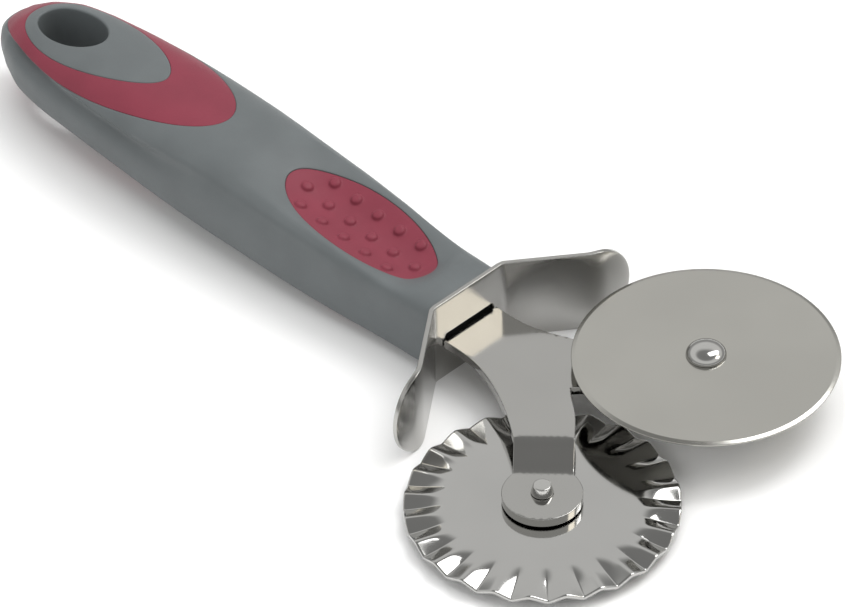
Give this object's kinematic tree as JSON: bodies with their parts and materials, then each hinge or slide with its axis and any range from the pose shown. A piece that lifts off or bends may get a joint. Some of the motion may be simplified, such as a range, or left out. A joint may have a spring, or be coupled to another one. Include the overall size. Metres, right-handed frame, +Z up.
{
  "type": "pastry cutter wheel",
  "caption": "Hand-held pastry cutter with a plain and a fluted steel wheel on a forked steel frame, a bent finger guard and a moulded handle with a hang hole.",
  "frame": {"origin": "middle of the bottom of the bounding box, as the tool lies flat", "axes": "+X along the handle towards the wheels, +Y towards the plain wheel, +Z up along the wheel axles"},
  "size_m": [0.2144, 0.1032, 0.0245],
  "materials": {
    "core_plastic": "dark moulded plastic",
    "grip_plastic": "soft matte mid grey",
    "inlay_rubber": "soft matte burgundy",
    "frame_steel": "polished stainless sheet",
    "plain_wheel_steel": "satin stainless sheet",
    "fluted_wheel_steel": "polished stainless sheet",
    "rivet_steel": "bright stainless"
  },
  "bodies": {
    "frame": {"fork": "frame_steel", "finger_guard": "frame_steel", "handle_core": "core_plastic", "handle_grip": "grip_plastic", "ring_inlay_top": "inlay_rubber", "ring_inlay_bottom": "inlay_rubber", "thumb_pad": "inlay_rubber", "finger_pad": "inlay_rubber", "plain_wheel_washer": "rivet_steel", "plain_wheel_rivet": "rivet_steel", "fluted_wheel_washer": "rivet_steel", "fluted_wheel_rivet": "rivet_steel"},
    "plain_wheel": {"plain_wheel": "plain_wheel_steel"},
    "fluted_wheel": {"fluted_wheel": "fluted_wheel_steel"}
  },
  "joints": [
    {"name": "plain_wheel_spin", "type": "hinge", "parent": "frame", "child": "plain_wheel", "pos_m": [0.07935, 0.02409, 0.01243], "axis": [0, 0, 1], "continuous": true},
    {"name": "fluted_wheel_spin", "type": "hinge", "parent": "frame", "child": "fluted_wheel", "pos_m": [0.07935, -0.02371, 0.00343], "axis": [0, 0, 1], "continuous": true}
  ]
}
